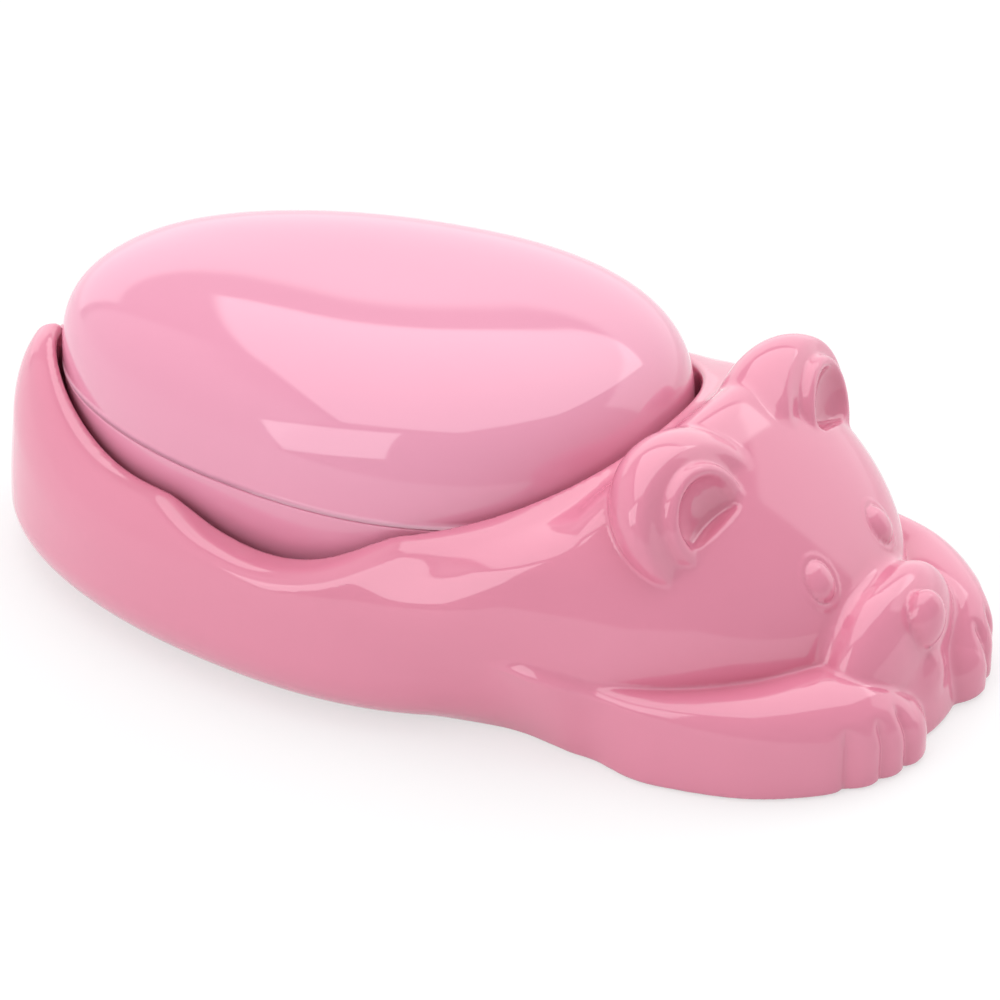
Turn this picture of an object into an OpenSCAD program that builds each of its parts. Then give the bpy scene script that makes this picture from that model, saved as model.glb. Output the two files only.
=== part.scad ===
// Covered soap dish: a lying bear whose back is an oval pocket.
// A soap box of two halves, a tray and a domed lid, stands in the pocket.
// X runs towards the bear's head, Z up. The origin is on the table,
// under the middle of the soap box.

/* [Soap box] */
// Length of the soap box at the seam between tray and lid
box_length = 112; // [100:1:124]
// Width of the soap box at the seam, at the middle of its length
box_width = 80; // [72:1:90]
// How much wider the oval gets towards the head, as a share of its width
box_egg = 0.18; // [0:0.02:0.24]
// Roundness of the oval's plan: 2 is an ellipse, more is squarer
box_square = 2.2; // [2:0.1:3]
// Height of the seam above the table
seam_height = 32.5; // [29:0.5:38]
// Height of the lid above the seam
lid_height = 23; // [17:0.5:28]
// Wall of tray and lid
box_wall = 2; // [1.6:0.1:2.6]
// How far the sides of the tray lean in towards its floor
tray_draft = 3.5; // [2.5:0.5:6]
// Radius between the tray's side and its floor
tray_round = 9; // [6:0.5:12]
// Height of the tray's locating lip above the seam
lip_height = 2; // [1.2:0.1:3]
// Gap between the lid and the tray's lip, at its side and its top
lid_gap = 0.3; // [0.2:0.05:0.5]
// Number of ribs that carry the soap
rib_count = 7; // [3:1:9]
// Width of a rib
rib_width = 2.4; // [1.6:0.1:3.2]
// Height of the ribs above the tray's floor
rib_height = 1.8; // [1:0.1:3]
// Distance between the middles of two ribs
rib_pitch = 8; // [6.5:0.5:9]

/* [Pocket and rim] */
// Gap between the soap box and the pocket's wall
pocket_gap = 1.2; // [0.8:0.1:2]
// Thickness of the pocket's floor
floor_thick = 3; // [2:0.5:5]
// Thickness of the pocket's wall at the rim
rim_band = 6.8; // [6:0.2:8.5]
// How much the wall grows outwards down to its foot
wall_flare = 1.6; // [0:0.2:3]
// Radius of the rounded foot along the bear's sides
foot_round = 10.5; // [8:0.5:13]
// Radius of the rounded foot at the bear's rump
rump_round = 7.5; // [6:0.5:10]
// How far the rim lies below the seam along the sides
rim_drop = 4.5; // [2:0.5:7]
// How far the rim climbs at the neck
neck_rise = 14; // [10:0.5:16]
// How far the rim climbs at the rump
rump_rise = 8.7; // [4:0.1:10]
// Depth of the dip over the tail
tail_dip = 3.3; // [0:0.1:5]
// Depth of the finger notch in each side
notch_depth = 5.7; // [3:0.1:7]

/* [Head] */
// How far the head reaches past the soap box, without the muzzle
head_reach = 42.3; // [40:0.5:44]
// Half of the head's width at the shoulders
head_half = 43.4; // [41:0.2:44.6]
// Height of the head's middle above the table
head_mid = 18.3; // [16:0.5:20]
// Height of the head from its middle to the crown
head_rise = 34.2; // [32:0.5:36]
// Where the forehead meets the rim, past the soap box
neck_place = 6; // [4:0.5:8]
// Distance from the head's middle to the flat of the brow
brow_reach = 45.3; // [43.5:0.2:47]
// Width of the rounding between the flat of the brow and the rest of the head
face_blend = 12; // [8:1:14]
// Half width of the muzzle
muzzle_half = 19.1; // [17:0.3:20.6]
// Height of the muzzle's middle above the table
muzzle_mid = 9.4; // [8.4:0.2:10.8]
// How far the muzzle's middle lies past the soap box
muzzle_place = 41.5; // [40:0.5:43]
// Half width of the nose
nose_size = 3.6; // [3:0.1:4.2]
// Half width of an eye inside its ring
eye_size = 3.1; // [2.6:0.1:3.4]
// Distance from the middle of the face to an eye
eye_side = 10.8; // [9.6:0.1:12]
// Half width of an ear
ear_size = 14; // [12.6:0.2:15]
// Distance from the middle of the head to an ear
ear_side = 21.2; // [19:0.2:23]
// Half width of the hollow in an ear
ear_cup = 7.3; // [6.4:0.1:7.6]

/* [Arms and tail] */
// Width of a paw
paw_width = 17.6; // [16:0.2:19]
// Number of grooves between the toes of a paw
toe_grooves = 3; // [2:1:4]
// Width of a groove between two toes
toe_groove = 1.1; // [0.8:0.1:1.6]
// Radius of the tail
tail_size = 8; // [6:0.2:10]

/* [Hidden] */
bear_pink = "#E58FAE";
box_pink = "#F3A6C0";

// steps around the oval and over the rounded forms
around = 72;
box_around = 60;
half_length = box_length / 2;
half_width = box_width / 2;

// smooth step from 0 at a to 1 at b
function ease(a, b, v) =
    let (s = min(max((v - a) / (b - a), 0), 1))
    s * s * (3 - 2 * s);
// power that keeps the sign of its base
function signed_pow(v, p) = sign(v) * pow(abs(v), p);
// larger of two values, with the corner between them rounded over width k
function soft_max(a, b, k) =
    let (h = max(k - abs(a - b), 0) / k)
    max(a, b) + h * h * k / 4;
function soft_min(a, b, k) = -soft_max(-a, -b, k);

// the egg-shaped oval, t = 0 at the head end and 180 at the rump
function oval_point(t) =
    let (x = half_length * signed_pow(cos(t), 2 / box_square))
    [x, half_width * signed_pow(sin(t), 2 / box_square) * (1 + box_egg * x / half_length)];
// the same point moved outwards by off
function oval_offset(t, off) =
    let (run = oval_point(t + 0.05) - oval_point(t - 0.05))
    oval_point(t) + off * [run[1], -run[0]] / norm(run);

// quarter turn of an oval corner, from 0 to 1 along both sides
corner_steps = 4;
function corner(r_across, r_up) =
    [for (i = [0:corner_steps]) [r_across * sin(90 * i / corner_steps),
                                 r_up * (1 - cos(90 * i / corner_steps))]];

// closed solid from rings of equal length, with a middle point at each end
module ring_solid(rings, first_point, last_point) {
    n = len(rings[0]);
    m = len(rings);
    points = concat([first_point], [for (r = rings) each r], [last_point]);
    last = len(points) - 1;
    sides = [for (j = [0:m - 2], i = [0:n - 1])
        let (a = 1 + j * n + i, b = 1 + j * n + (i + 1) % n)
        each [[a, b, b + n], [a, b + n, a + n]]];
    fan_start = [for (i = [0:n - 1]) [0, 1 + (i + 1) % n, 1 + i]];
    fan_end = [for (i = [0:n - 1])
        [last, 1 + (m - 1) * n + i, 1 + (m - 1) * n + (i + 1) % n]];
    polyhedron(points, [for (f = concat(sides, fan_start, fan_end)) [f[2], f[1], f[0]]],
               convexity = 6);
}

// ring around the oval from a profile function's list of [off, z] for each t
module oval_sweep(profiles, low, high) {
    n = len(profiles);
    m = len(profiles[0]);
    rings = [for (j = [0:m - 1]) [for (i = [0:n - 1])
        let (p = oval_offset(360 * i / n, profiles[i][j][0]))
        [p[0], p[1], profiles[i][j][1]]]];
    ring_solid(rings, [0, 0, low], [0, 0, high]);
}

// rim of the pocket
notch_middle = 82;
notch_reach = 21;
side_height = seam_height - rim_drop;
// height of the rim at angle t of the oval
function rim_height(t) =
    let (a = t > 180 ? 360 - t : t,
         d = (a - notch_middle) / notch_reach,
         climb = neck_rise * pow((1 + cos(a)) / 2, 3.7),
         hump = rump_rise * ease(108, 160, a) - tail_dip * ease(164, 174, a))
    side_height + climb + hump - notch_depth * pow(max(1 - d * d, 0), 1.3);

rim_outer = 4.5;
rim_inner = 1;
pocket_draft = 2.5;
pocket_round = 4;
// how far the head stands out from the soap box at angle t and height z
function head_side(t, z) =
    let (run = oval_point(t + 0.05) - oval_point(t - 0.05),
         p = oval_point(t))
    ray_exit([p[0], p[1], z], [run[1], -run[0], 0] / norm(run), head_middle, head_radii);
// the flank swells into the head's side, and lies just under its skin where the head is wider
under_skin = 0.5;
flank_blend = 6;
flank_most = 9;
function flank(t, z, own) =
    min(soft_max(own, head_side(t, z) - under_skin, flank_blend), own + flank_most);
// outline of the wall at angle t: foot, flank, rim, pocket wall, pocket floor
function tub_profile(t) =
    let (a = t > 180 ? 360 - t : t,
         top = rim_height(t),
         foot = foot_round + (rump_round - foot_round) * ease(90, 170, a),
         wide = pocket_gap + rim_band,
         base = wide + wall_flare,
         rise = top - rim_outer - foot)
    concat(
        [for (c = corner(foot, foot)) [flank(t, c[1], base) - foot + c[0], c[1]]],
        [for (s = [0.33, 0.67])
            let (z = foot + rise * s, own = base + (wide - base) * s)
            [own + (flank(t, z, own) - own) * (1 - s * s), z]],
        [for (c = corner(rim_outer, rim_outer)) [wide - c[1], top - rim_outer + c[0]]],
        [for (i = [0:2]) [pocket_gap + rim_inner * (1 - sin(45 * i)),
                          top - rim_inner * (1 - cos(45 * i))]],
        pocket_foot(pocket_gap));
// the rounded foot of a wall of the pocket that stands at this offset
function pocket_foot(off) =
    [for (c = corner(pocket_round, pocket_round))
        [off - pocket_draft - c[1], floor_thick + pocket_round - c[0]]];

module tub() {
    profiles = [for (i = [0:around - 1]) tub_profile(360 * i / around)];
    oval_sweep(profiles, 0, floor_thick);
}

// head: distances from a point inside it along rays, blended where forms meet

face_middle = [half_length + 10, 0, 14];
head_length = 58;
head_middle = [half_length + head_reach - head_length, 0, head_mid];
head_radii = [head_length, head_half, head_rise];
neck_point = [half_length + neck_place, 0, head_mid + head_rise - 8];
neck_normal = [-0.75, 0, 0.66];
brow_normal = [0.757, 0, 0.653];
brow_point = head_middle + brow_reach * brow_normal;
neck_blend = 5;

// how far a ray from a point runs until it leaves an ellipsoid
function ray_exit(from, ray, middle, radii) =
    let (o = [for (i = [0:2]) (from[i] - middle[i]) / radii[i]],
         d = [for (i = [0:2]) ray[i] / radii[i]],
         q = (o * d) * (o * d) - (d * d) * (o * o - 1))
    q < 0 ? 0 : max((sqrt(q) - o * d) / (d * d), 0);
// how far it runs until it crosses a plane
function ray_cross(from, ray, point, normal) =
    let (fall = ray * normal)
    fall < 0.05 ? 999 : (point - from) * normal / fall;
function skull_exit(ray) =
    soft_min(soft_min(ray_exit(face_middle, ray, head_middle, head_radii),
                      ray_cross(face_middle, ray, brow_point, brow_normal), face_blend),
             ray_cross(face_middle, ray, neck_point, neck_normal), neck_blend);
// closed skin around a point, as far out along each ray as the function says
module ray_skin(middle, exit, columns, rows) {
    rings = [for (j = [1:rows - 1])
        let (up = -90 + 180 * j / rows)
        [for (i = [0:columns - 1])
            let (turn = 360 * i / columns,
                 ray = [cos(turn) * cos(up), sin(turn) * cos(up), sin(up)])
            middle + exit(ray) * ray]];
    ring_solid(rings, middle - [0, 0, exit([0, 0, -1])], middle + [0, 0, exit([0, 0, 1])]);
}

module ellipsoid(middle, radii, fine) {
    translate(middle) scale(radii) sphere(r = 1, $fn = fine);
}
// frame at a place, turned outwards, then tipped up, then spun about its own first axis
module frame(place, turn, tip, spin) {
    translate(place) rotate([0, 0, turn]) rotate([0, -tip, 0]) rotate([spin, 0, 0])
        children();
}
// round roll along an ellipse that lies across the frame's first axis
module oval_roll(wide, high, tube, fine) {
    scale([1, wide / high, 1]) rotate([0, 90, 0])
        rotate_extrude($fn = fine)
            translate([high, 0]) circle(r = tube, $fn = 8);
}

muzzle_part = 3.8;
muzzle_middle = [half_length + muzzle_place, 0, muzzle_mid];
muzzle_radii = [7.3, muzzle_half - muzzle_part, 14.1];
chin_radii = [10.1, 18, 18];
chin_drop = 10.4;
lip_middle = muzzle_middle + [4.3, 0, -1.4];
lip_radii = [5.2, 6, 6];
nose_middle = muzzle_middle + [6.3, 0, 8.7];
module head() {
    ray_skin(face_middle, function(ray) skull_exit(ray), 60, 24);
    for (side = [-1, 1])
        ellipsoid(muzzle_middle + [0, side * muzzle_part, 0], muzzle_radii, 28);
    ellipsoid(muzzle_middle - [0, 0, chin_drop], chin_radii, 28);
    ellipsoid(lip_middle, lip_radii, 20);
}

nose_tall = 1.4;
module nose() {
    ellipsoid(nose_middle, [nose_size, nose_size, nose_size + nose_tall], 20);
}

// an eye: a low dome inside a raised ring, square to the skin
eye_middle = [half_length + 33.6, eye_side, head_mid + 7.8];
eye_turn = 9;
eye_tip = 36;
eye_low = 2;
eye_tall = 0.5;
eye_groove = 0.1;
eye_ring = 0.6;
module eye() {
    frame(eye_middle, eye_turn, eye_tip, 0) {
        scale([eye_low, eye_size, eye_size + eye_tall]) sphere(r = 1, $fn = 16);
        oval_roll(eye_size + eye_groove + eye_ring,
                  eye_size + eye_tall + eye_groove + eye_ring, eye_ring, 24);
    }
}

// an ear: a round lobe cut off square in front, where a valley and a ring surround its hollow
ear_middle = [half_length + 18.9, ear_side, head_mid + 20.2];
ear_turn = 9;
ear_tip = 16.5;
ear_spin = 25;
ear_face = 1.1;
lobe_middle = ear_middle - [4.3, 5.1, 2.7];
lobe_radii = [9.7, ear_size + 5.3, ear_size];
lobe_blend = 3;
// rows of the turned frame, to measure with
function frame_rows(turn, tip, spin) =
    let (fore = [cos(turn) * cos(tip), sin(turn) * cos(tip), sin(tip)],
         out = [-sin(turn), cos(turn), 0],
         up = cross(fore, out))
    [fore, cos(spin) * out + sin(spin) * up, cos(spin) * up - sin(spin) * out];
lobe_rows = frame_rows(-6.4, 33.6, 21.2);
ear_fore = frame_rows(ear_turn, ear_tip, ear_spin)[0];
function lobe_exit(ray) =
    soft_min(ray_exit([0, 0, 0], lobe_rows * ray, [0, 0, 0], lobe_radii),
             ray_cross(lobe_middle, ray, ear_middle + ear_face * ear_fore, ear_fore), lobe_blend);
valley_radius = 3.1;
valley_fore = 2.6;
valley_out = 2.75;
cup_ring = 1.25;
cup_wide = ear_cup + 1.1;
cup_high = ear_cup;
module ear() {
    difference() {
        ray_skin(lobe_middle, function(ray) lobe_exit(ray), 28, 16);
        frame(ear_middle, ear_turn, ear_tip, ear_spin)
            translate([valley_fore, 0, 0])
                oval_roll(cup_wide + valley_out, cup_high + valley_out, valley_radius, 28);
    }
    frame(ear_middle, ear_turn, ear_tip, ear_spin)
        oval_roll(cup_wide, cup_high, cup_ring, 28);
}
// the hollow runs on into the head, where a straight wall ends it
cup_deep = 3.2;
cup_wall = -2.3;
cup_slant = 49;
module ear_hollow() {
    frame(ear_middle, ear_turn, ear_tip, ear_spin)
        intersection() {
            ellipsoid([cup_deep / 2, 0.3, 0.3], [cup_deep, cup_high, cup_high - 1.1], 24);
            rotate([cup_slant, 0, 0])
                translate([-ear_size, cup_wall, -ear_size]) cube(2 * ear_size);
        }
}

// an arm: a row of balls on a smooth curve, each with a wall below it that stands on the table
arm_flat = 0.85;
arm_steps = 3;
paw_radius = paw_width / 2;
arm_side = half_width + 1.1;
arm_joints = [
    [half_length - 6.3, arm_side, 15.1, 2.2],
    [half_length + 10, arm_side - 3.7, 12.6, 2.2],
    [half_length + 19.9, arm_side - 4.6, 11.8, 3.4],
    [half_length + 32.4, arm_side - 11.2, 9.7, 6.7],
    [half_length + 40.4, arm_side - 22, 6.6, paw_radius + 1.4],
    [half_length + 44.7, arm_side - 28.8, 3.5, paw_radius]];
// point and radius between joint i and the next, at share v of the way
function arm_point(i, v) =
    let (a = arm_joints[max(i - 1, 0)],
         b = arm_joints[i],
         c = arm_joints[i + 1],
         d = arm_joints[min(i + 2, len(arm_joints) - 1)])
    b + v / 2 * (c - a + v * (2 * a - 5 * b + 4 * c - d + v * (3 * (b - c) + d - a)));
arm_run = concat([for (i = [0:len(arm_joints) - 2], k = [0:arm_steps - 1])
                     arm_point(i, k / arm_steps)],
                 [arm_joints[len(arm_joints) - 1]]);
// the wall leans in at the shoulder, where it meets the flank above the table
shoulder_lean = 0.45;
module arm_ball(i, inset) {
    p = arm_run[i];
    lean = shoulder_lean * ease(half_length + 20, half_length - 4, p[0]);
    translate([p[0], p[1], p[2]]) scale([1, 1, arm_flat]) sphere(r = p[3] - inset, $fn = 16);
    translate([p[0], p[1] - lean * p[2], 0])
        cylinder(r = p[3] - inset, h = 0.1, $fn = 16);
}
module arm_core(first, inset) {
    for (i = [first:len(arm_run) - 2])
        hull() {
            arm_ball(i, inset);
            arm_ball(i + 1, inset);
        }
}
module arm() {
    difference() {
        arm_core(0, 0);
        toes();
    }
}
// grooves part the toes: slits that start on top of the paw and run down its front
groove_deep = 1.3;
groove_first = arm_side - 25.9;
groove_pitch = 5.3;
groove_top = 11;
groove_back = half_length + 43;
module toes() {
    difference() {
        for (i = [0:toe_grooves - 1])
            translate([groove_back, groove_first + groove_pitch * i - toe_groove / 2, -1])
                cube([20, toe_groove, groove_top + 1]);
        arm_core(len(arm_run) - 1 - 2 * arm_steps, groove_deep);
    }
}

module tail() {
    ellipsoid([-half_length - pocket_gap - rim_band - 0.5, 0, seam_height / 2],
              [tail_size * 0.72, tail_size, tail_size], 24);
}

// space kept free of head and arms: it ends just inside the pocket's wall and floor
wall_bite = 0.4;
module pocket_space() {
    wide = pocket_gap + wall_bite;
    foot = pocket_foot(wide);
    high = seam_height + lid_height;
    profile = concat([for (i = [corner_steps:-1:0]) foot[i] - [0, wall_bite]],
                     [[wide, side_height], [wide, high]]);
    oval_sweep([for (i = [0:around - 1]) profile], floor_thick - wall_bite, high);
}

module bear_body() {
    color(bear_pink)
        intersection() {
            union() {
                tub();
                difference() {
                    union() {
                        head();
                        for (side = [0, 1])
                            mirror([0, side, 0]) {
                                ear();
                                eye();
                                arm();
                            }
                    }
                    pocket_space();
                    for (side = [0, 1])
                        mirror([0, side, 0])
                            ear_hollow();
                }
                nose();
                tail();
            }
            translate([0, 0, 200]) cube(400, center = true);
        }
}

// soap tray and lid

lip_wall = box_wall / 2;
module soap_tray() {
    foot = floor_thick;
    inner_round = tray_round - box_wall;
    inner_floor = foot + box_wall;
    profile = concat(
        [for (c = corner(tray_round, tray_round))
            [-tray_draft - tray_round + c[0], foot + c[1]]],
        [[0, seam_height], [-lip_wall, seam_height],
         [-lip_wall, seam_height + lip_height],
         [-box_wall, seam_height + lip_height],
         [-box_wall - 0.1, seam_height - 1]],
        [for (c = corner(inner_round, inner_round))
            [-tray_draft - box_wall - c[1], inner_floor + inner_round - c[0]]]);
    color(box_pink) {
        union() {
            oval_sweep([for (i = [0:box_around - 1]) profile], foot, inner_floor);
            ribs(inner_floor);
        }
    }
}

// ribs across the tray's floor, each as long as the oval leaves room
rib_end = 12;
module ribs(inner_floor) {
    for (i = [0:rib_count - 1]) {
        y = (i - (rib_count - 1) / 2) * rib_pitch;
        reach = half_length * sqrt(1 - pow(y / (half_width - tray_draft), 2));
        long = reach - tray_draft - box_wall - rib_end;
        hull()
            for (side = [-1, 1])
                translate([side * long, y, inner_floor - 0.5])
                    cylinder(h = rib_height + 0.5, d1 = rib_width, d2 = rib_width * 0.7, $fn = 12);
    }
}

dome_steps = 9;
dome_power = 3;
// from the lid's top down to its edge, flat on top and steep at the side
function dome(height, side) =
    [for (i = [1:dome_steps])
        let (a = 90 * (1 - i / dome_steps))
        [side * (pow(cos(a), 2 / dome_power)), height * pow(sin(a), 2 / dome_power)]];
module lid() {
    color(box_pink)
        dome_shell(seam_height);
}
// ring of the lid: the oval shrunk to a share of its size
function lid_ring(share, inset, z) =
    [for (i = [0:box_around - 1])
        let (p = oval_offset(360 * i / box_around, -inset)) [p[0] * share, p[1] * share, z]];
module dome_shell(edge) {
    outer = dome(lid_height, 1);
    inner = dome(lid_height - box_wall, 1);
    lip_top = edge + lip_height + lid_gap;
    rings = concat(
        [for (d = outer) lid_ring(d[0], 0, edge + d[1])],
        [lid_ring(1, lip_wall - lid_gap, edge), lid_ring(1, lip_wall - lid_gap, lip_top),
         lid_ring(1, box_wall, lip_top)],
        [for (i = [dome_steps - 2:-1:0])
            lid_ring(inner[i][0], box_wall, max(edge + inner[i][1], lip_top))]);
    ring_solid(rings, [0, 0, edge + lid_height], [0, 0, edge + lid_height - box_wall]);
}

bear_body();
soap_tray();
lid();
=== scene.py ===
import math
import bpy
import numpy as np
from mathutils import Matrix, Vector


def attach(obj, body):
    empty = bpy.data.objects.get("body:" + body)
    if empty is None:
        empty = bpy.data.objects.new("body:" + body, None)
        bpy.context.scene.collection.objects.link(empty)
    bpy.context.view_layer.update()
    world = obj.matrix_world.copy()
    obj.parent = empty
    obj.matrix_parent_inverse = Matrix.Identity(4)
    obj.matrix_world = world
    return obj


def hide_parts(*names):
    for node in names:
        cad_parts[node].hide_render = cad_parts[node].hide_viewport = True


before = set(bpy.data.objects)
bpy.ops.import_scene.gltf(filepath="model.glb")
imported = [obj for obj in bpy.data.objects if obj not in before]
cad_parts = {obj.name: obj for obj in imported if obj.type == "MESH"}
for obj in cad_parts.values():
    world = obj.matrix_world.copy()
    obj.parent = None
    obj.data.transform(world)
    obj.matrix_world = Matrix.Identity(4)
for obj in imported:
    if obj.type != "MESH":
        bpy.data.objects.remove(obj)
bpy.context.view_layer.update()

scene = bpy.context.scene
scene.view_settings.view_transform = "Standard"

# Bear body
# One glossy pink moulding, 179 mm long and 101 mm wide: a shallow oval tub with a narrow rim,
# a broad round head laid against its wide end, arms folded forward along the table.
# Its skin is the zero of one smooth field in mm, found on a grid and drawn onto that zero.


def ease(a, b, v):
    # 0 at a, 1 at b, smooth between them and level outside
    s = np.clip((v - a) / (b - a), 0, 1)
    return s * s * (3 - 2 * s)


def soft_min(a, b, k):
    # the lower of two values, run into each other where they differ by less than k
    h = np.maximum(k - np.abs(a - b), 0) / k
    return np.minimum(a, b) - h * h * k / 4


def soft_max(a, b, k):
    return -soft_min(-a, -b, k)


# the soap box's oval at its seam: half its length and width, how much it widens towards the
# head, how square its ends are, and the seam's height above the table
HALF_LENGTH, HALF_WIDTH, EGG, SQUARE = 56.0, 40.0, 0.18, 2.2
SEAM = 32.5


def oval_share(x, y):
    # 1 on the soap box's outline at the seam, less inside, more outside
    b = HALF_WIDTH * (1 + EGG * np.clip(x / HALF_LENGTH, -1.6, 1.6))
    return ((np.abs(x) / HALF_LENGTH) ** SQUARE + (np.abs(y) / b) ** SQUARE) ** (1 / SQUARE)


def oval_distance(x, y):
    # mm outside the soap box's outline, below zero inside it
    e = 0.05
    gx = (oval_share(x + e, y) - oval_share(x - e, y)) / (2 * e)
    gy = (oval_share(x, y + e) - oval_share(x, y - e)) / (2 * e)
    return (oval_share(x, y) - 1) / np.maximum(np.hypot(gx, gy), 1e-3)


def oval_angle(x, y):
    # 0 at the head end, 180 at the rump
    b = HALF_WIDTH * (1 + EGG * np.clip(x / HALF_LENGTH, -1.6, 1.6))
    c = np.sign(x) * (np.abs(x) / HALF_LENGTH) ** (SQUARE / 2)
    return np.degrees(np.arctan2((np.abs(y) / b) ** (SQUARE / 2), c))


SIDE_HEIGHT, NECK_RISE, RUMP_RISE, TAIL_DIP = 28.0, 14.0, 8.7, 3.3
NOTCH_ANGLE, NOTCH_DEPTH = 82.0, 5.7


def rim_height(t):
    # height of the smooth rim at an angle, and of the rim with the finger notch in it
    h = SIDE_HEIGHT + NECK_RISE * ((1 + np.cos(np.radians(t))) / 2) ** 3.68
    h = h + RUMP_RISE * ease(108, 160, t) - TAIL_DIP * ease(164, 173, t)
    d = np.abs(t - NOTCH_ANGLE) / np.where(t < NOTCH_ANGLE, 22, 20.0)
    return h, h - NOTCH_DEPTH * np.maximum(1 - d * d, 0) ** 1.3


def turn(yaw, pitch, roll):
    # columns: forward, outward and up, after turning out, tipping up and rolling
    a, b, c = (math.radians(v) for v in (yaw, pitch, roll))
    out = np.array([-math.sin(a), math.cos(a), 0])
    fore = np.array([math.cos(a) * math.cos(b), math.sin(a) * math.cos(b), math.sin(b)])
    up = np.cross(fore, out)
    return np.stack([fore, math.cos(c) * out + math.sin(c) * up,
                     math.cos(c) * up - math.sin(c) * out], 1)


def local(x, y, z, middle, axes):
    # a place as seen from a part's own middle and axes
    p = (x - middle[0], y - middle[1], z - middle[2])
    return [p[0] * axes[0][i] + p[1] * axes[1][i] + p[2] * axes[2][i] for i in range(3)]


def ring(f, s, u, wide, high, tube):
    # a round roll along an ellipse that lies across f
    share = np.sqrt((s / wide) ** 2 + (u / high) ** 2)
    steep = np.sqrt((s / wide ** 2) ** 2 + (u / high ** 2) ** 2)
    return np.hypot((share - 1) * share / np.maximum(steep, 1e-6), f) - tube


def ellipsoid(x, y, z, middle, radii):
    p = [x - middle[0], y - middle[1], z - middle[2]]
    share = sum((p[i] / radii[i]) ** 2 for i in range(3)) ** 0.5
    steep = sum((p[i] / radii[i] ** 2) ** 2 for i in range(3)) ** 0.5
    return share * (share - 1) / np.maximum(steep, 1e-6)


def smooth_run(joints, steps):
    # a curve through the joints, four numbers each: x, y, z and radius
    p = np.array([joints[0], *joints, joints[-1]], float)
    run = []
    for i in range(1, len(p) - 2):
        for v in np.arange(steps) / steps:
            run.append(p[i] + 0.5 * v * (p[i + 1] - p[i - 1] + v * (
                2 * p[i - 1] - 5 * p[i] + 4 * p[i + 1] - p[i + 2] + v * (
                    3 * (p[i] - p[i + 1]) + p[i + 2] - p[i - 1]))))
    return np.array([*run, p[-2]])


# how far the upper arm's outer wall leans in on its way down, in mm per mm
ARM_LEAN = 0.45


def limb(x, y, z, run, flat):
    # the skin round a row of balls; below the row its walls run down to the table
    least = last = earlier = None
    for ball_x, ball_y, ball_z, radius in run:
        lean = np.maximum(ball_z - z, 0) * ARM_LEAN * ease(76, 52, ball_x)
        out = y - ball_y + lean
        # the arm's back slopes gently towards the cheek
        out = np.where(out < 0, out * (1 - 0.35 * ease(99, 90, ball_x)), out)
        this = np.sqrt((x - ball_x) ** 2 + out ** 2
                       + (np.maximum(z - ball_z, 0) / flat) ** 2) - radius
        if earlier is not None:
            # lowest value of the curve through three neighbours
            bend = np.maximum(earlier - 2 * last + this, 1e-4)
            dip = last - (earlier - this) ** 2 / (8 * bend)
            least = np.minimum(least, np.where((last <= earlier) & (last <= this), dip, last))
        else:
            least = this
        earlier, last = last, this
    return np.minimum(least, last)


# width of the wall outside the box's oval and how much it flares below, radius of its foot at
# the flank and how much less at the rump, and how wide and high its lean under the rim is
WALL, FLARE, FOOT, FOOT_LESS, LEAN_WIDE, LEAN_HIGH = 8.0, 1.6, 10.5, 3.0, 6.8, 12.0


def tub(x, y, z):
    # the field of the tub without its pocket, and the distance outside the box's oval
    d = oval_distance(x, y)
    t = oval_angle(x, y)
    wide = WALL + FLARE * ease(34, 8, z)
    foot = FOOT - FOOT_LESS * ease(90, 170, t)
    a = d - (wide - foot)
    b = foot - z - ease(3, 0, a)
    low = np.hypot(np.maximum(a, 0), np.maximum(b, 0)) - foot
    low = np.where(b > 0, np.where(a > 0, low, -z - 1), d - wide)
    # towards its top the wall leans in, up to a narrow rim; the finger notch is cut into it
    top, rim = rim_height(t)
    p, q = np.maximum(d - wide + LEAN_WIDE, 0.01), np.maximum(z - top + LEAN_HIGH, 0.01)
    share = np.hypot(p / LEAN_WIDE, q / LEAN_HIGH)
    steep = np.hypot(p / LEAN_WIDE ** 2, q / LEAN_HIGH ** 2)
    return soft_max(np.maximum(low, share * (share - 1) / steep), z - rim, 2.5), d


# places on the bear's left half: middles of the ear's mouth, its lobe and the eye, with the
# way each of them faces
EAR, EAR_AXES = (74.9, 21.2, 38.45), turn(9, 16.5, 25)
LOBE, LOBE_AXES = (70.6, 16.1, 35.7), turn(-6.4, 33.6, 21.2)
EYE, EYE_AXES = (89.6, 10.8, 26.1), turn(9, 36, 0)


def ear_at(x, y, z):
    # the lobe with its roll, valley and ring, and the dish that is hollowed out of ear and head
    f, s, u = local(x, y, z, EAR, EAR_AXES)
    lobe = ellipsoid(*local(x, y, z, LOBE, LOBE_AXES), (0, 0, 0), (9.7, 19.3, 14.0))
    lobe = soft_max(lobe, f - 1.3 + (s * s + u * u) * 0.003, 3.5)
    lobe = soft_max(lobe, -ring(f - 2.6, s, u, 11.2, 10.0, 3.1), 2.0)
    lobe = soft_min(lobe, ring(f, s, u, 8.4, 7.25, 1.25), 1.0)
    dish = ellipsoid(f, s, u, (1.6, 0.3, 0.3), (3.2, 7.3, 6.2))
    dish = soft_max(dish, -(s / 8.4 + u / 7.25 + 0.42) * 5.5, 1.5)
    return lobe, dish


# the arm's balls from the shoulder to the paw: x, y, z and radius
ARM = [(48, 40.6, 15.7, 2.0), (54, 41.1, 15.1, 2.1), (60, 40.1, 14.1, 2.2), (66, 38.0, 12.9, 2.3),
       (75.9, 36.5, 11.8, 3.4), (88.4, 29.9, 9.7, 6.7), (96.4, 19.1, 6.6, 10.2),
       (100.7, 12.3, 3.5, 8.8)]
ARM_RUN = smooth_run(ARM, 14)
# how far out from the middle the grooves between the toes lie
TOE_GROOVES = (15.2, 20.4, 25.8)
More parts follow.
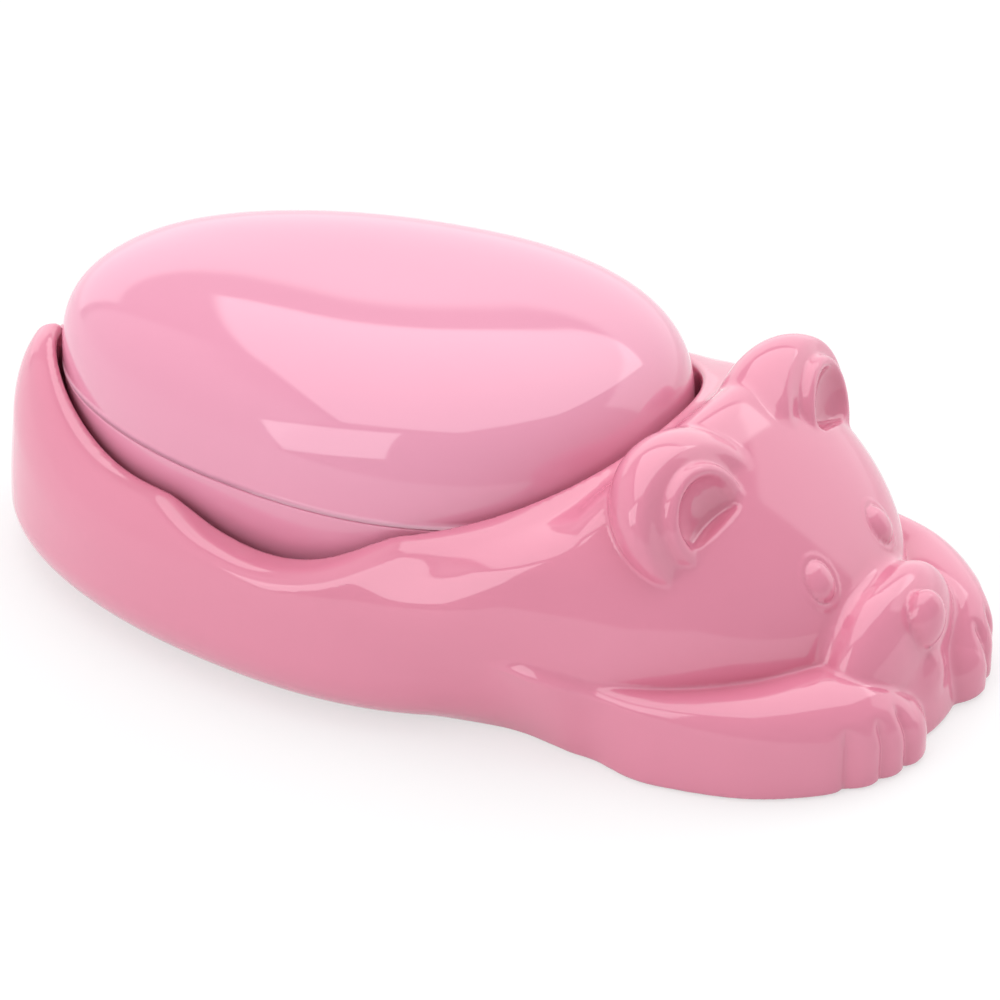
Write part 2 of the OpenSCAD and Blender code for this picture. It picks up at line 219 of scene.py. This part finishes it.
# gap between the box's oval and the pocket's wall, and the pocket floor's height
POCKET_GAP, POCKET_FLOOR = 0.9, 3.0


def bear(x, y, z):
    # the whole moulding's field, a mirror image of itself about y = 0
    y = np.abs(y)
    body, d = tub(x, y, z)
    # head: an ellipsoid, planed off at the brow and at the neck
    head = ellipsoid(x, y, z, (40.3, 0, 18.3), (58, 43.4, 34.2))
    head = soft_max(head, x * 0.757 + z * 0.653 - 87.8, 12)
    head = soft_max(head, (62 - x) * 0.75 + (z - 44.5) * 0.66, 5)
    # muzzle: two lobes on a chin and a lip
    muzzle = soft_min(ellipsoid(x, y, z, (97.5, 3.8, 9.35), (7.3, 15.3, 14.1)),
                      ellipsoid(x, -y, z, (97.5, 3.8, 9.35), (7.3, 15.3, 14.1)), 2.0)
    chin = ellipsoid(x, y, z, (97.5, 0, -1), (10.1, 18, 18))
    lip = ellipsoid(x, y, z, (101.8, 0, 8), (5.2, 6, 6))
    body = soft_min(body, head, 3 + 12 * ease(10, 26, z) * ease(41, 31, z) * ease(16, 38, y))
    body = soft_min(body, soft_min(soft_min(chin, lip, 1.0), muzzle, 0.8), 3)
    nose = ellipsoid(x, y, z, (103.3, 0, 18.1), (3.4, 4.3, 5.0))
    body = soft_min(body, nose, 0.6)
    ear, dish = ear_at(x, y, z)
    body = soft_max(soft_min(body, ear, 0.6), -dish, 0.6)
    arm = np.full(x.shape, 30.0)
    near = x > 42
    arm[near] = limb(x[near], y[near], z[near], ARM_RUN, 0.85)
    # grooves part the toes: they start on top of the paw and run down its front
    deep = 1.4 * ease(11.8, 8.5, z) * ease(99, 103, x)
    for groove in TOE_GROOVES:
        arm = arm + deep * np.exp(-np.hypot(y - groove, 0.3) / 1.1)
    body = soft_min(body, arm, 1.0)
    # eye: a low dome inside a thin ring
    f, s, u = local(x, y, z, EYE, EYE_AXES)
    body = soft_min(body, ring(f, s, u, 3.75, 4.25, 0.6), 0.4)
    body = soft_min(body, ellipsoid(f, s, u, (0, 0, 0), (2.1, 3.1, 3.6)), 0.2)
    tail = ellipsoid(x, y, z, (-64, 0, 16), (6, 8, 8))
    body = soft_min(body, tail, 2)
    # under the cheeks the moulding is closed between the head and the arms
    line, level = (np.interp(x, ARM_RUN[:, 0], ARM_RUN[:, k]) for k in (1, 2))
    line = line - np.maximum(level - z, 0) * ARM_LEAN * ease(76, 52, x)
    body = np.minimum(body, np.maximum.reduce([y - line, z - 6.5, x - 94, 60 - x]))
    body = soft_max(body, -z, 1.0)
    pocket = soft_max(d - POCKET_GAP, POCKET_FLOOR - z, 3)
    return soft_max(body, -pocket, 1.5)


def skin_of(field, xs, ys, zs):
    # surface net of the field: one vertex in each cell that the skin crosses
    # the field is a mirror image about y = 0, so half of it is worked out
    half = np.empty((len(xs), len(ys), len(zs)))
    for i in range(0, len(xs), 24):
        gx, gy, gz = np.meshgrid(xs[i:i + 24], ys, zs, indexing="ij")
        half[i:i + 24] = field(gx, gy, gz)
    f = np.concatenate([half[:, ::-1], half], axis=1)
    lines = (xs, np.concatenate([-ys[::-1], ys]), zs)
    shape = f.shape
    cells = np.prod(shape)
    total = np.zeros((4, cells))
    quads = []
    strides = (shape[1] * shape[2], shape[2], 1)
    flat = f.ravel()
    for axis in range(3):
        cut = [slice(None)] * 3
        cut[axis] = slice(0, shape[axis] - 1)
        nxt = [slice(None)] * 3
        nxt[axis] = slice(1, shape[axis])
        where = np.argwhere((f[tuple(cut)] < 0) != (f[tuple(nxt)] < 0))
        b, c = (axis + 1) % 3, (axis + 2) % 3
        where = where[(where[:, b] > 0) & (where[:, c] > 0)]
        home = where @ np.array(strides)
        f0, f1 = flat[home], flat[home + strides[axis]]
        point = where.astype(float)
        point[:, axis] += f0 / (f0 - f1)
        around = [home - strides[b] - strides[c], home - strides[c], home, home - strides[b]]
        for cell in around:
            for k in range(3):
                total[k] += np.bincount(cell, point[:, k], cells)
            total[3] += np.bincount(cell, minlength=cells)
        corners = np.stack(around, 1)
        corners[f0 > 0] = corners[f0 > 0][:, ::-1]
        quads.append(corners)
    quads = np.concatenate(quads)
    used, quads = np.unique(quads, return_inverse=True)
    quads = quads.reshape(-1, 4)
    spots = total[:3, used] / total[3, used]
    points = [np.interp(spots[k], np.arange(shape[k]), lines[k]) for k in range(3)]
    return np.stack(points, 1), quads


def open_rings(quads):
    # the holes in the net, each as one ring of point numbers
    edges = set(zip(quads.ravel().tolist(), np.roll(quads, -1, 1).ravel().tolist()))
    after = {b: a for a, b in edges if (b, a) not in edges}
    rings = []
    while after:
        here, around = next(iter(after)), []
        while here in after:
            around.append(here)
            here = after.pop(here)
        rings.append(around)
    return rings


def slope(field, p, e=0.12):
    # the way the field rises, which is the way the skin faces
    g = np.empty_like(p)
    for k in range(3):
        d = np.zeros(3)
        d[k] = e
        a, b = p + d, p - d
        g[:, k] = (field(a[:, 0], a[:, 1], a[:, 2]) - field(b[:, 0], b[:, 1], b[:, 2])) / (2 * e)
    return g


def draw_onto(field, p):
    # three steps along the slope bring the points onto the field's zero
    for _ in range(3):
        g = slope(field, p)
        f = field(p[:, 0], p[:, 1], p[:, 2])
        p = p - g * (f / np.maximum((g * g).sum(1), 0.05))[:, None]
    return p


def make_mesh(name, points, faces, normals=None):
    # points in mm, each face a ring of point numbers
    mesh = bpy.data.meshes.new(name)
    mesh.from_pydata((points / 1000).tolist(), [], faces)
    mesh.shade_smooth()
    if normals is not None:
        mesh.normals_split_custom_set_from_vertices(normals.tolist())
    obj = bpy.data.objects.new(name, mesh)
    scene.collection.objects.link(obj)
    return obj


# the grid's lines, half a millimetre to just over one apart: finer from the ears to the toes
grid_x = np.concatenate([np.arange(-71.5, 58, 1.15), np.arange(58, 110.5, 0.53)])
grid_y = np.concatenate([np.arange(0.26, 32, 0.52), np.arange(32, 52.5, 0.8)])
grid_z = np.arange(-0.9, 54, 0.6)
points, quads = skin_of(bear, grid_x, grid_y, grid_z)
points = draw_onto(bear, points)
# the pocket's flat floor and the flat underside are one face each
middles = points[quads].mean(1)
height = middles[:, 2]
inside = (oval_distance(middles[:, 0], middles[:, 1]) < -2) & (height < 18) & (height > 1)
under = height < 0.02
quads = quads[~(inside | under)]
used, quads = np.unique(quads, return_inverse=True)
quads = quads.reshape(-1, 4)
points = points[used]
normals = slope(bear, points)
normals /= np.linalg.norm(normals, axis=1)[:, None]
# nothing stands out past the solid's own length and width, or below the table
points = np.clip(points, (-70.2, -50.49, 0), (109.49, 50.49, 54))
faces = quads.tolist() + open_rings(quads)


class Socket:
    """A shader socket with arithmetic. Numbers and sockets mix freely."""

    def __init__(self, shader, socket):
        self.shader, self.socket = shader, socket

    def maths(self, operation, other, swap=False):
        pair = [other, self] if swap else [self, other]
        return self.shader.node("ShaderNodeMath", {"operation": operation}, pair)

    def __add__(self, other):
        return self.maths("ADD", other)

    def __radd__(self, other):
        return self.maths("ADD", other)

    def __sub__(self, other):
        return self.maths("SUBTRACT", other)

    def __rsub__(self, other):
        return self.maths("SUBTRACT", other, swap=True)

    def __mul__(self, other):
        return self.maths("MULTIPLY", other)

    def __rmul__(self, other):
        return self.maths("MULTIPLY", other)


class Shader:
    """The nodes of a material or a world, from an empty start to its output."""

    def __init__(self, owner, output="ShaderNodeOutputMaterial"):
        self.owner = owner
        owner.use_nodes = True
        self.tree = owner.node_tree
        self.tree.nodes.clear()
        self.out = self.tree.nodes.new(output)

    def node(self, kind, settings=None, inputs=(), output=0):
        # a new node, its settings and inputs filled in; what it gives is one of its outputs
        n = self.tree.nodes.new(kind)
        for key, value in (settings or {}).items():
            setattr(n, key, value)
        for key, value in (inputs.items() if isinstance(inputs, dict) else enumerate(inputs)):
            self.plug(n, key, value)
        return Socket(self, n.outputs[output])

    def plug(self, n, key, value):
        if isinstance(value, Socket):
            self.tree.links.new(value.socket, n.inputs[key])
        else:
            n.inputs[key].default_value = value

    def surface(self, socket):
        self.tree.links.new(socket.socket, self.out.inputs["Surface"])


def linear(r, g, b):
    # a colour as a screen shows it, turned into light
    return tuple([((c / 255 + 0.055) / 1.055) ** 2.4 for c in (r, g, b)] + [1.0])


def gloss(name, deep, pale, rough, waves):
    # dyed plastic: faint clouds in the colour, a wavy skin and slightly uneven gloss
    # output 3 of a Texture Coordinate is the piece's own space, in metres; inputs 0, 6 and 7
    # of a Mix are its share and two colours, and its output 2 is the mixed colour
    s = Shader(bpy.data.materials.new(name))
    place = s.node("ShaderNodeTexCoord", output=3)
    cloud = s.node("ShaderNodeTexNoise", {}, {"Vector": place, "Scale": 22.0, "Detail": 3.0})
    colour = s.node("ShaderNodeMix", {"data_type": "RGBA"},
                    {0: cloud, 6: deep, 7: pale}, output=2)
    smear = s.node("ShaderNodeTexNoise", {}, {"Vector": place, "Scale": 60.0, "Detail": 2.0})
    wave = s.node("ShaderNodeTexNoise", {}, {"Vector": place, "Scale": 45.0, "Detail": 1.0})
    bump = s.node("ShaderNodeBump", {}, {"Strength": waves, "Distance": 0.001, "Height": wave})
    skin = s.node("ShaderNodeBsdfPrincipled", {}, {
        "Base Color": colour, "Roughness": smear * 0.05 + rough, "IOR": 1.7,
        "Normal": bump})
    s.surface(skin)
    return s.owner


bear_pink = gloss("bear_pink", linear(214, 126, 151), linear(219, 132, 157), 0.04, 0.02)

skin = make_mesh("bear_skin", points, faces, normals)
skin.data.materials.append(bear_pink)

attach(skin, "dish")
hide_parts("bear_body")

# Soap tray
# The soap box's lower half, a moulding in paler pink that only rests in the bear's pocket.
# 112 by 80 mm at the seam, drawing in towards a round foot, with a 2 mm wall, a low lip that
# guides the lid and seven ribs along its floor that carry the soap.


def oval_ring(off, share=1.0, count=240):
    # the box's oval, moved out by off mm and then drawn in to a share of its size
    t = np.radians(360 * np.arange(count) / count)

    def at(a):
        c, s = np.cos(a), np.sin(a)
        x = HALF_LENGTH * np.sign(c) * np.abs(c) ** (2 / SQUARE)
        y = HALF_WIDTH * np.sign(s) * np.abs(s) ** (2 / SQUARE) * (1 + EGG * x / HALF_LENGTH)
        return np.stack([x, y], 1)
    run = at(t + 1e-3) - at(t - 1e-3)
    run /= np.linalg.norm(run, axis=1)[:, None]
    return (at(t) + off * np.stack([run[:, 1], -run[:, 0]], 1)) * share


def loft(rings, bottom, top):
    # rings of equal length, closed by a middle point at each end
    n = len(rings[0])
    pts = np.concatenate([[bottom], *rings, [top]])
    faces = []
    for j in range(len(rings) - 1):
        for i in range(n):
            a, b = 1 + j * n + i, 1 + j * n + (i + 1) % n
            faces.append([a, b, b + n, a + n])
    last = len(pts) - 1
    for i in range(n):
        faces.append([0, 1 + (i + 1) % n, 1 + i])
        faces.append([last, last - n + i, last - n + (i + 1) % n])
    return pts, faces


def joined(name, shells):
    # several closed shells in one mesh
    points, faces = [], []
    for pts, rings in shells:
        faces += [[i + sum(map(len, points)) for i in ring] for ring in rings]
        points.append(pts)
    return make_mesh(name, np.concatenate(points), faces)


def at_height(ring, z):
    return np.column_stack([ring, np.full(len(ring), z)])


def arc(middle, radius, start, end, steps):
    # points of a section on a round from one angle to another, in degrees
    a = np.radians(np.linspace(start, end, steps + 1))
    return [(middle[0] + radius * math.cos(v), middle[1] + radius * math.sin(v)) for v in a]


# the box's wall, how far the tray draws in on its way down, the round at its foot, the
# height of its lip, and the radius of the two edges that meet at the seam
BOX_WALL, TRAY_DRAFT, TRAY_ROUND, LIP, EDGE = 2.0, 3.5, 9.0, 2.0, 0.2
TRAY_BOTTOM = POCKET_FLOOR + 0.02
TRAY_FLOOR = POCKET_FLOOR + BOX_WALL
# where the wall starts above the foot's round
WALL_START = 12.0
# offset from the oval and height: up the outside, over the lip and down the inside
foot_middle = (-TRAY_DRAFT - TRAY_ROUND, TRAY_BOTTOM + TRAY_ROUND)
profile = arc(foot_middle, TRAY_ROUND, -90, -4, 14)
profile += [(-TRAY_DRAFT * (1 - s) ** 1.6, WALL_START + (SEAM - EDGE - WALL_START) * s)
            for s in (0.2, 0.4, 0.6, 0.8, 0.93, 0.98)]
profile += arc((-EDGE, SEAM - EDGE), EDGE, 0, 90, 4)
profile += [(-1.0, SEAM), (-1.0, SEAM + LIP - 0.2), (-1.15, SEAM + LIP), (-1.85, SEAM + LIP),
            (-BOX_WALL, SEAM + LIP - 0.2), (-2.1, SEAM - 1)]
profile += [(-2.1 - 3.4 * s, SEAM - 1 - (SEAM - 1 - WALL_START) * s) for s in (0.25, 0.5, 0.75)]
inner_round = TRAY_ROUND - BOX_WALL
profile += arc((-TRAY_DRAFT - TRAY_ROUND, TRAY_FLOOR + inner_round), inner_round, 0, -90, 10)
box_pink = gloss("box_pink", linear(221, 144, 170), linear(225, 149, 175), 0.03, 0.02)
# distance between the ribs, and from a rib's end to the tray's wall
RIB_PITCH, RIB_END = 8.0, 12.0


def rib(y):
    # a low rounded bar along the tray's floor, as long as the oval leaves room
    reach = HALF_LENGTH * math.sqrt(1 - (y / (HALF_WIDTH - TRAY_DRAFT)) ** 2)
    long = reach - TRAY_DRAFT - BOX_WALL - RIB_END
    a = np.radians(np.concatenate([np.linspace(-90, 90, 17), np.linspace(90, 270, 17)]))
    end = np.stack([np.repeat([long, -long], 17), np.full(34, y)], 1)
    ring = np.stack([np.cos(a), np.sin(a)], 1)
    # half the bar's width at each height
    steps = [(1.2, 4.6), (1.0, 6.0), (0.97, 6.3), (0.87, 6.55), (0.7, 6.72), (0.45, 6.8)]
    return loft([at_height(end + ring * r, z) for r, z in steps], (0, y, 4.6), (0, y, 6.8))


shell = loft([at_height(oval_ring(off), z) for off, z in profile],
             (0, 0, TRAY_BOTTOM), (0, 0, TRAY_FLOOR))
tray = joined("tray_shell", [shell] + [rib(RIB_PITCH * i) for i in range(-3, 4)])
tray.data.materials.append(box_pink)
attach(tray, "dish")
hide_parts("soap_tray")

# Lid
# The soap box's domed upper half in the same paler pink, 23 mm high: nearly flat on top and
# steep at the side. Its edge rests on the tray's shoulder and leaves a hairline seam.
LID_HEIGHT = 23.0
# how square the lid's section is, where 2 would be an ellipse
LID_SQUARE = 3


def dome(height, low, steps, inset):
    # rings of a dome from near its top down to its edge, closer together near the edge
    rings = []
    for i in range(steps):
        a = math.radians(90 * (1 - (i + 1) / steps) ** 1.15)
        share = math.cos(a) ** (2 / LID_SQUARE)
        z = low + height * math.sin(a) ** (2 / LID_SQUARE)
        rings.append(at_height(oval_ring(-inset, share), z))
    return rings


# the lid's lowest edge clears the tray's shoulder, and its groove clears the tray's lip
LID_FOOT, GROOVE = SEAM + 0.02, SEAM + LIP + 0.3
outer = dome(LID_HEIGHT - EDGE, SEAM + EDGE, 56, 0)
edge = [at_height(oval_ring(off), z) for off, z in
        arc((-EDGE, LID_FOOT + EDGE), EDGE, 0, -90, 4)
        + [(-0.7, LID_FOOT), (-0.7, GROOVE), (-BOX_WALL, GROOVE)]]
inner = dome(LID_HEIGHT - BOX_WALL, SEAM, 24, BOX_WALL)[::-1]
inner = [r for r in inner if r[0, 2] > GROOVE + 0.1]
LID_TOP = SEAM + LID_HEIGHT
shell = loft(outer + edge + inner, (0, 0, LID_TOP), (0, 0, LID_TOP - BOX_WALL))
lid = joined("lid_shell", [shell])
lid.data.flip_normals()
lid.data.materials.append(box_pink)
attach(lid, "cover")
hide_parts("lid")

# Floor
# A white sweep. Most of what the camera and reflections see of it is plain white, so the
# dish's shadow stays faint.
PLAIN_WHITE = 0.62
floor_shader = Shader(bpy.data.materials.new("white_floor"))
# output 0 of a Light Path says camera ray, and output 3 says glossy ray
seen = (floor_shader.node("ShaderNodeLightPath", output=0)
        + floor_shader.node("ShaderNodeLightPath", output=3))
floor_shader.surface(floor_shader.node("ShaderNodeMixShader", {}, [
    seen * PLAIN_WHITE,
    floor_shader.node("ShaderNodeBsdfDiffuse", {}, {"Color": (0.88, 0.88, 0.88, 1)}),
    floor_shader.node("ShaderNodeEmission", {}, {"Color": (1, 1, 1, 1), "Strength": 1.0})]))
bpy.ops.mesh.primitive_plane_add(size=8, location=(0, 0, -0.0002))
floor = bpy.context.object
floor.name = "floor"
floor.data.materials.append(floor_shader.owner)

# Camera
# A long lens, two thirds of a metre from the dish, 30 degrees round from the bear's right
# side towards its face and 28 degrees up.
AZIMUTH, ELEVATION, DISTANCE = math.radians(30), math.radians(28), 0.6658
TARGET = Vector((0.02606, 0, 0.01888))
back = Vector((math.sin(AZIMUTH) * math.cos(ELEVATION),
               -math.cos(AZIMUTH) * math.cos(ELEVATION), math.sin(ELEVATION)))
right = Vector((math.cos(AZIMUTH), math.sin(AZIMUTH), 0))
up = back.cross(right)
camera = bpy.data.objects.new("camera", bpy.data.cameras.new("camera"))
camera.data.lens = 144
camera.data.sensor_width = 36
camera.data.clip_start = 0.01
turned = Matrix((right, up, back)).transposed().to_4x4()
camera.matrix_world = Matrix.Translation(TARGET + back * DISTANCE) @ turned
scene.collection.objects.link(camera)
scene.camera = camera

# Light
# A pale studio all round: a large soft box overhead, a white screen behind the dish with a dim
# gap between the two, a pale wall on the left and, nearer the camera, a tall window. Only
# reflections show them; the camera itself sees plain white.
# level directions away from the camera and to its right
AWAY, SIDE = Vector((-0.5, 0.866, 0)), Vector((0.866, 0.5, 0))
sky = Shader(bpy.data.worlds.new("studio"), "ShaderNodeOutputWorld")
scene.world = sky.owner
heading = sky.node("ShaderNodeTexCoord", output=0)


def along(direction):
    # how far a ray heads that way
    return sky.node("ShaderNodeVectorMath", {"operation": "DOT_PRODUCT"},
                    {0: heading, 1: direction}, output=1)


def above(value, edge, width):
    # 1 where the value is above the edge, 0 below, and soft for that width on both sides
    return sky.node("ShaderNodeMapRange", {"interpolation_type": "SMOOTHSTEP"},
                    {0: value, 1: edge - width, 2: edge + width, 3: 0.0, 4: 1.0})


def turned_to(azimuth):
    # how far a ray heads to one side of an upright plane through the dish
    a = math.radians(azimuth)
    return away * math.cos(a) + side * math.sin(a)


away, side, high = along(AWAY), along(SIDE), along((0, 0, 1))
# each surface is what lies inside all of its edges, and an edge is a plane through the dish
screen = (above(turned_to(47), 0.0, 0.02) * above(turned_to(-18), 0.0, 0.02)
          * above(side * 0.12 - high, -0.5, 0.02))
wall = (above(turned_to(-25), 0.0, 0.03) * above(turned_to(-138), 0.0, 0.03)
        * above(high * -1.0, -0.75, 0.08))
overhead = (above(high * 1.36 - away, 0.0, 0.02)
            * above(side + high * 0.64 - away * 0.16, 0.0, 0.02)
            * above(away + high * 0.37, 0.0, 0.02)
            * above(away - side * 0.78 + high * 0.44, 0.0, 0.02)
            * above(away - side * 1.75 + high * 1.13, 0.0, 0.02)
            * above(high, 0.3, 0.02))
window = (above(side * 0.1 - away - high * 0.47, 0.0, 0.01)
          * above(away * 0.58 - side - high * 0.03, 0.0, 0.01)
          * above(away * 0.68 - side * 0.31 + high, 0.0, 0.01)
          * above(side * 0.53 - away + high * 0.5, 0.0, 0.01))
# brightness of the room, and what each surface adds to it
studio = 0.6 + wall * 0.35 + screen * 0.8 + overhead * 1.55 + window * 1.9
to_camera = sky.node("ShaderNodeLightPath", output=0)
glow = studio + to_camera * (1.0 - studio)
sky.surface(sky.node("ShaderNodeBackground", {}, {"Color": (1, 1, 1, 1), "Strength": glow}))
